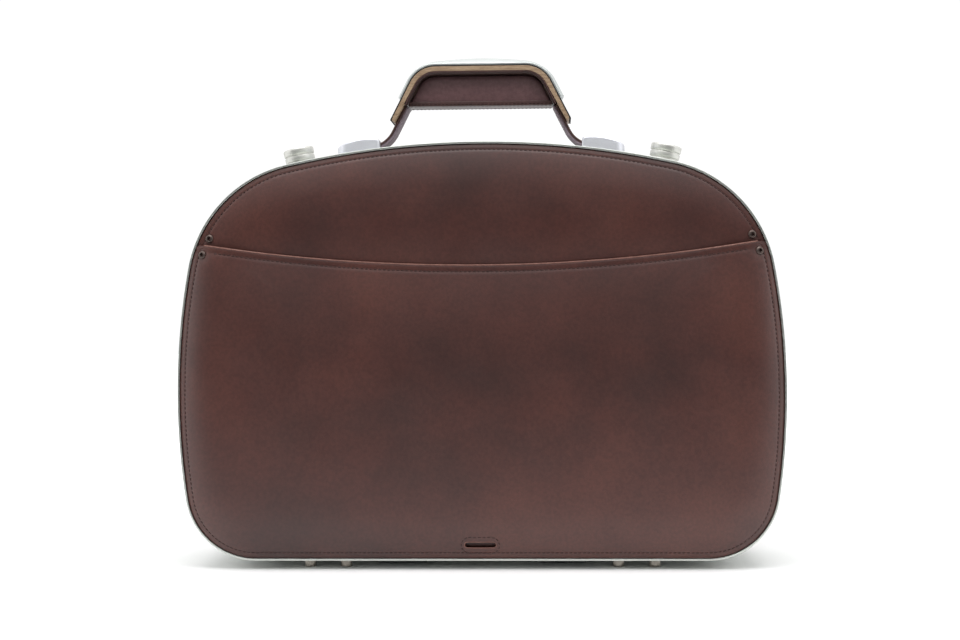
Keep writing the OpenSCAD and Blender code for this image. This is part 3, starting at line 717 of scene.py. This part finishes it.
def makeFeet(name, side, body, node):
    parts = []
    for x in (feet["inner"], feet["outer"]):
        for s in (-1, 1):
            verts, faces = lathe(footProfile, 64)
            parts.append((verts + np.array([s * x, side * feet["y"], 0]), faces))
    verts, faces = joined(parts)
    addMesh(name, verts, faces, nickel, body, [node])


makeFeet("rearFeet", 1, "base_shell", "base_feet")
makeFeet("frontFeet", -1, "lid_shell", "lid_feet")


knob = dict(x=138.4, wide=1.025, tall=1.10)
ribProfile = [  # radius and height from the foot to the middle of the top
    (8.2, 0.4), (11.3, 0.4), (11.5, 0.55), (11.5, 0.9), (11.3, 1.25), (10.95, 2.0), (10.75, 3.0), (10.75, 4.7),
    (10.65, 5.0), (10.2, 5.15), (10.05, 5.35), (10.05, 5.7), (10.2, 5.95), (10.95, 6.15), (11.15, 6.5),
    (11.2, 9.0), (11.1, 9.35), (10.5, 9.5), (10.35, 9.75), (10.35, 10.05), (10.5, 10.3), (11.15, 10.5),
    (11.4, 10.8), (11.45, 13.9), (11.3, 14.45), (10.9, 14.85), (10.3, 15.0), (8.6, 15.0), (8.3, 14.9), (8.1, 14.6),
    (7.0, 14.5), (0.05, 14.5)
]


def makeKnob(name, side, body, node):
    verts, faces = lathe([(r * knob["wide"], z * knob["tall"]) for r, z in ribProfile], 128)
    tilt = math.asin(knob["x"] / (case["crown"] + case["rim"]))
    turn = np.array(Matrix.Rotation(side * tilt, 3, "Y"))
    place = np.array([side * knob["x"], 0, float(crownZ(knob["x"]))])
    addMesh(name, verts @ turn.T + place, faces, knobMetal, body, [node])


makeKnob("leftKnob", -1, "latch_left", "knob_left")
makeKnob("rightKnob", 1, "latch_right", "knob_right")
print("hardware made")


strap = dict(half=10, thick=3.7, leg=39.2, end=30, radius=22, tail=7)
cap = dict(inner=76.9, outer=109.2, half=21, peak=12.7, drop=9.6, mouthLow=2.6, mouthHigh=9.4, corner=9.0, soft=1.3)


def capPlan(inset):  # closed loop of x and y: square at the strap, round at the far end
    a, b, h, r = cap["inner"] + inset, cap["outer"] - inset, cap["half"] - inset, cap["corner"] - inset
    near = min(1.2, h)
    pts = []
    for cx, cy, rad, start in ((b - r, h - r, r, 90), (b - r, -h + r, r, 0), (a + near, -h + near, near, -90),
                               (a + near, h - near, near, -180)):
        pts += [(cx + rad * cos(radians(start - 9 * k)), cy + rad * sin(radians(start - 9 * k))) for k in range(11)]
    return resampled(np.array(pts), 120)


def capTop(x):
    t = np.clip((x - cap["inner"]) / (cap["outer"] - cap["inner"]), 0, 1)
    return crownZ(x) + cap["peak"] - cap["drop"] * (t - 0.45) ** 2


def makeCap(name, side, node):
    r, rings = cap["soft"], []
    base = capPlan(0)
    rings.append(np.stack([base[:, 0], base[:, 1], crownZ(base[:, 0]) - 0.1], 1))
    rings.append(np.stack([base[:, 0], base[:, 1], crownZ(base[:, 0]) + 2.0], 1))
    for angle in (0, 15, 30, 45, 60, 75, 90):
        plan = capPlan(r * (1 - cos(radians(angle))))
        rings.append(np.stack([plan[:, 0], plan[:, 1], capTop(plan[:, 0]) - r * (1 - sin(radians(angle)))], 1))
    for inset in (2.5, 4.5, 7.0):
        plan = capPlan(inset)
        rings.append(np.stack([plan[:, 0], plan[:, 1], capTop(plan[:, 0])], 1))
    verts = np.concatenate(rings)
    verts[:, 0] *= side
    piece = addMesh(name, verts, loftFaces(120, len(rings)), capMetal, "base_shell", [node])
    low, high = (float(crownZ(cap["inner"])) + cap[k] for k in ("mouthLow", "mouthHigh"))
    wide = strap["half"] + 0.8
    mouthBox = rounded([(low, -wide), (high, -wide), (high, wide), (low, wide)], 2.0, 5)
    cutter = [(side * x, y, z) for x in (cap["inner"] - 2, cap["inner"] + 9) for z, y in mouthBox]
    cutAway(piece, cutter, loftFaces(len(mouthBox), 2))
    piece.data.set_sharp_from_angle(angle=sharpAngle)


makeCap("leftCap", -1, "handle_cap_left")
makeCap("rightCap", 1, "handle_cap_right")


arch = dict(top=61.3, half=34, radius=21.4, slope=63, leg=32.3, taper=1.1, width=36, wood=3.7, gasket=0.9,
            plate=1.3, crown=5.8, leather=2.4, plateLeg=15, grip=32.5, gripHalf=10)
archTop = topZ + arch["top"]
gripZ = topZ + arch["grip"]
bendC = np.array([arch["half"], archTop - arch["radius"]])
legDir = np.array([cos(radians(arch["slope"])), -sin(radians(arch["slope"]))])
bendRun = arch["radius"] * radians(arch["slope"])


def archPoint(off, s):  # x and z at depth off under the wood's top, s along it from the middle
    side, s = (1 if s >= 0 else -1), abs(s)
    if s <= arch["half"]:
        p = np.array([s, archTop - off])
    elif s <= arch["half"] + bendRun:
        p = bendC + (arch["radius"] - off) * direction(90 - math.degrees((s - arch["half"]) / arch["radius"]))
    else:
        p = bendC + (arch["radius"] - off) * direction(90 - arch["slope"]) + legDir * (s - arch["half"] - bendRun)
    return np.array([side * p[0], p[1]])


def archEnd(leg):
    return arch["half"] + bendRun + leg


def sectionRect(a, b, half, r, steps=4):
    return rounded([(a, -half), (b, -half), (b, half), (a, half)], r, steps)


def archStrip(name, a, b, leg, half, r, material, node=(), soft=0.5, taper=0.0):
    end = archEnd(leg)
    stops = [-end, -end + soft * 0.3, -end + soft] + list(np.linspace(-end + soft + 0.5, end - soft - 0.5, 90))
    stops += [end - soft, end - soft * 0.3, end]
    shrink = [soft, soft * 0.3, 0] + [0] * 90 + [0, soft * 0.3, soft]
    rings = []
    for s, e in zip(stops, shrink):
        low = b - taper * max(0, abs(s) - archEnd(0)) / leg
        e = min(e, (low - a) * 0.45)
        for off, y in sectionRect(a + e, low - e, half - e, max(r - e, 0.05)):
            x, z = archPoint(off, s)
            rings.append((x, y, z))
    count = len(sectionRect(a, b, half, r))
    return addMesh(name, rings, loftFaces(count, len(stops)), material, "handle_grip", node)


def makeTopPlate():
    end = archEnd(arch["plateLeg"])
    stops = np.linspace(-end, end, 110)
    ys = arch["width"] / 2 * np.sin(np.linspace(-pi / 2, pi / 2, 25))
    rings = []
    for i, s in enumerate(stops):
        tip = min(1.0, (end - abs(s)) / 1.2 + 0.35)
        x0 = archPoint(0, s)[0]
        hump = 2.6 + (arch["crown"] - 2.6) * max(0, 1 - (x0 / (arch["half"] + 8)) ** 2)
        bottom = -arch["gasket"]
        for y in ys:
            lift = arch["plate"] * tip + hump * tip * (1 - (2 * y / arch["width"]) ** 2)
            edge = 0.35 * max(0, 1 - (arch["width"] / 2 - abs(y)) / 0.5) ** 2
            x, z = archPoint(bottom - lift + edge, s)
            rings.append((x, y, z))
        for y in (arch["width"] / 2 - 0.15, 0, -arch["width"] / 2 + 0.15):
            x, z = archPoint(bottom, s)
            rings.append((x, y, z))
    addMesh("topPlate", rings, loftFaces(len(ys) + 3, len(stops)), plateMetal, "handle_grip", ["handle_top_plate"])


def makeArch():
    half = arch["width"] / 2
    makeTopPlate()
    archStrip("blackGasket", -arch["gasket"], 0.0, arch["leg"] + 0.6, half + 0.15, 0.3, rubber, ["handle_gasket"], 0.3)
    archStrip("woodLayer", 0.02, arch["wood"], arch["leg"], half, 0.35, handleWood, ["handle_wood"], 0.6,
              arch["taper"])
    mid = arch["wood"] + arch["leather"] / 2
    stop = (archPoint(4, archEnd(0))[1] - gripZ) / sin(radians(arch["slope"]))
    archStrip("upperLeatherLayer", arch["wood"], mid - 0.05, stop, half - 0.2, 0.4, strapLeather,
              ["handle_leather"], 0.4)
    archStrip("lowerLeatherLayer", mid + 0.05, arch["wood"] + arch["leather"], stop, half - 0.5, 0.4, darkLeather,
              soft=0.4)


def gripLoop(inset, low):
    o = arch["wood"] + arch["leather"] + 0.05 + inset
    z = low + inset
    leg = (archPoint(o, archEnd(0))[1] - z) / sin(radians(arch["slope"]))
    end = archEnd(leg)
    pts = [archPoint(o, s) for s in np.linspace(-end, end, 80)]
    bottom = [(pts[-1][0] * (1 - 2 * k / 40), z) for k in range(1, 40)]
    return np.array([tuple(p) for p in pts] + bottom)


def makeGrip():
    rings, half = [], arch["gripHalf"]
    shape = [(9.5, 0.55), (6.5, 0.45), (4.0, 0.25), (2.4, 0.05), (1.3, -0.25), (0.6, -0.7), (0.2, -1.4), (0.0, -2.4)]
    for inset, out in shape:
        loop = gripLoop(inset, gripZ)
        rings.append(np.stack([loop[:, 0], np.full(len(loop), -(half + out)), loop[:, 1]], 1))
    for inset, out in reversed(shape):
        loop = gripLoop(inset, gripZ)
        rings.append(np.stack([loop[:, 0], np.full(len(loop), half + out), loop[:, 1]], 1))
    count = len(rings[0])
    grip = addMesh("gripCover", np.concatenate(rings), loftFaces(count, len(rings)), gripLeather, "handle_grip",
                   ["grip_cover"])
    # a folded strip wraps the grip's lower edge
    reach = abs(gripLoop(0, gripZ)[79][0]) - 0.6
    xs = np.linspace(-reach, reach, 70)
    section = rounded([(-half - 0.75, 2.9), (-half - 0.75, -0.7), (half + 0.75, -0.7), (half + 0.75, 2.9),
                       (half - 0.5, 2.9), (half - 0.5, 0.4), (-half + 0.5, 0.4), (-half + 0.5, 2.9)], 0.6, 4)
    verts = [(x, y, gripZ + z) for x in xs for y, z in section]
    addMesh("gripHem", verts, loftFaces(len(section), len(xs)), strapLeather, "handle_grip", ())
    for side in (-1, 1):
        line = np.array([(x, side * (half + 0.78), gripZ + 0.55) for x in xs])
        stitchLine("gripSeam" + ("Front" if side < 0 else "Rear"), line, np.tile((0, side, -0.25), (70, 1)), thread,
                   "handle_grip", pitch=3.0)
        # the underside stitches are lightened with a painted highlight
        under = np.array([(x, side * (half - 2.2), gripZ - 0.72) for x in xs])
        stitchLine("gripUnder" + ("Front" if side < 0 else "Rear"), under, np.tile((0, 0, -1), (70, 1)), threadPaintedHighlight,
                   "handle_grip", pitch=3.0)


makeArch()
makeGrip()
print("handle made")


strapMid = arch["wood"] - 0.6 + strap["thick"] / 2


def strapPath(off):  # x and z of the right strap, from under the wood down into the cap
    bendEnd = 90 - arch["slope"]
    def onLeg(s):
        return bendC + (arch["radius"] - strapMid - off) * direction(bendEnd) + legDir * s
    up = (archPoint(4, archEnd(0))[1] - gripZ) / sin(radians(arch["slope"])) + 0.4
    centre = onLeg(strap["leg"]) + (strap["radius"] + off) * direction(bendEnd)
    pts = [onLeg(s) for s in np.linspace(up, strap["leg"], 10)[:-1]]
    turnEnd = 90 - strap["end"]
    arcRun = [centre - (strap["radius"] + off) * direction(a) for a in np.linspace(bendEnd, turnEnd, 24)]
    tail = [arcRun[-1] + direction(-strap["end"]) * d for d in np.linspace(0, strap["tail"], 6)[1:]]
    return np.array([tuple(p) for p in pts + arcRun + tail])


def makeStrap(name, side, node):
    # the inner layer carries a painted sheen: its pale lilac stands in for reflected light
    layers = (("Outer", -strap["thick"] / 2, -0.06, strap["half"], strapLeather, [node]),
              ("Inner", 0.06, strap["thick"] / 2, strap["half"] - 0.35, linerLeatherPaintedSheen, ()))
    made = []
    for part, a, b, half, material, nodes in layers:
        section = sectionRect(a, b, half, 0.55, 4)
        paths = {off: strapPath(off) for off in {round(o, 6) for o, _ in section}}
        count = len(next(iter(paths.values())))
        verts = []
        for k in range(count):
            for off, y in section:
                x, z = paths[round(off, 6)][k]
                verts.append((side * x, y, z))
        made.append(addMesh(name + part, verts, loftFaces(len(section), count), material, None, nodes))
    # the inner face's stitches are lightened with a painted highlight
    for face, off, lift, tone in (("Out", -strap["thick"] / 2, -0.05, thread),
                                  ("In", strap["thick"] / 2, 0.05, threadPaintedHighlight)):
        path = strapPath(off + lift)[2:-5]
        tangent = tangents(path)
        sign = -1 if off > 0 else 1
        normal = np.stack([sign * tangent[:, 1], np.zeros(len(path)), sign * tangent[:, 0]], 1)
        for edge in (-1, 1):
            line = np.stack([side * path[:, 0], np.full(len(path), edge * (strap["half"] - 2.2)), path[:, 1]], 1)
            out = np.stack([side * normal[:, 0], normal[:, 1], normal[:, 2]], 1)
            made.append(stitchLine(f"{name}Seam{face}{'Front' if edge < 0 else 'Rear'}", line, out, tone, None,
                                   pitch=3.0))
    for piece in made:
        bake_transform(piece)


makeStrap("leftStrap", -1, "strap_left")
makeStrap("rightStrap", 1, "strap_right")
print("straps made")


def setRange(node, fromMin, fromMax, toMin, toMax):
    node.inputs["From Min"].default_value = fromMin
    node.inputs["From Max"].default_value = fromMax
    node.inputs["To Min"].default_value = toMin
    node.inputs["To Max"].default_value = toMax


def makeStage():
    mesh = bpy.data.meshes.new("floor")
    mesh.from_pydata([(-8, -0.5, 0), (8, -0.5, 0), (8, 8, 0), (-8, 8, 0)], [], [(0, 1, 2, 3)])
    mat, nodes, links, shader = newMaterial("paleFloor")
    shader.inputs["Base Color"].default_value = (0.93, 0.93, 0.93, 1)
    shader.inputs["Roughness"].default_value = 0.9
    shader.inputs["Specular IOR Level"].default_value = 0.1
    shader.inputs["Emission Color"].default_value = (1, 1, 1, 1)
    # far from the case the floor glows for the camera, so that it meets the white surroundings
    place = nodes.new("ShaderNodeVectorMath")
    place.operation = "LENGTH"
    links.new(nodes.new("ShaderNodeTexCoord").outputs["Object"], place.inputs[0])
    far = nodes.new("ShaderNodeMapRange")
    setRange(far, 0.32, 1.3, 0.0, 0.7)
    links.new(place.outputs["Value"], far.inputs["Value"])
    glow = nodes.new("ShaderNodeMath")
    glow.operation = "MULTIPLY"
    links.new(far.outputs["Result"], glow.inputs[0])
    links.new(nodes.new("ShaderNodeLightPath").outputs["Is Camera Ray"], glow.inputs[1])
    links.new(glow.outputs[0], shader.inputs["Emission Strength"])
    mesh.materials.append(mat)
    floor = bpy.data.objects.new("floor", mesh)
    scene.collection.objects.link(floor)


def areaLight(name, place, target, size, power):
    data = bpy.data.lights.new(name, "AREA")
    data.shape = "RECTANGLE"
    data.size, data.size_y = size
    data.energy = power
    obj = bpy.data.objects.new(name, data)
    obj.location = place
    obj.rotation_euler = (Vector(target) - Vector(place)).to_track_quat("-Z", "Y").to_euler()
    scene.collection.objects.link(obj)


room = dict(bright=0.95, dim=0.10, seen=1.05)


def makeWorld():
    world = bpy.data.worlds.new("softRoom")
    scene.world = world
    world.use_nodes = True
    nodes, links = world.node_tree.nodes, world.node_tree.links
    back = nodes["Background"]
    coord = nodes.new("ShaderNodeTexCoord").outputs["Generated"]
    parts = nodes.new("ShaderNodeSeparateXYZ")
    links.new(coord, parts.inputs[0])
    shade = nodes.new("ShaderNodeMath")
    shade.operation = "MAXIMUM"
    for k, (axis, low, high) in enumerate((("Y", -0.75, -0.05), ("Z", 0.12, 0.62))):
        step = nodes.new("ShaderNodeMapRange")
        step.interpolation_type = "SMOOTHSTEP"
        setRange(step, low, high, room["dim"], room["bright"])
        links.new(parts.outputs[axis], step.inputs["Value"])
        links.new(step.outputs["Result"], shade.inputs[k])
    seen = nodes.new("ShaderNodeMix")
    links.new(nodes.new("ShaderNodeLightPath").outputs["Is Camera Ray"], seen.inputs["Factor"])
    links.new(shade.outputs[0], seen.inputs["A"])
    seen.inputs["B"].default_value = room["seen"]
    back.inputs["Color"].default_value = (1, 1, 1, 1)
    links.new(seen.outputs["Result"], back.inputs["Strength"])


makeStage()
makeWorld()
areaLight("topLight", (0, -0.5, 1.9), (0, 0, 0.15), (1.8, 1.4), 26)
areaLight("leftLight", (-1.7, -0.5, 0.8), (0, 0, 0.2), (0.9, 1.3), 4)
areaLight("rightLight", (1.7, -0.5, 0.8), (0, 0, 0.2), (0.9, 1.3), 4)
scene.view_settings.view_transform = "Standard"
print("stage and lights ready")
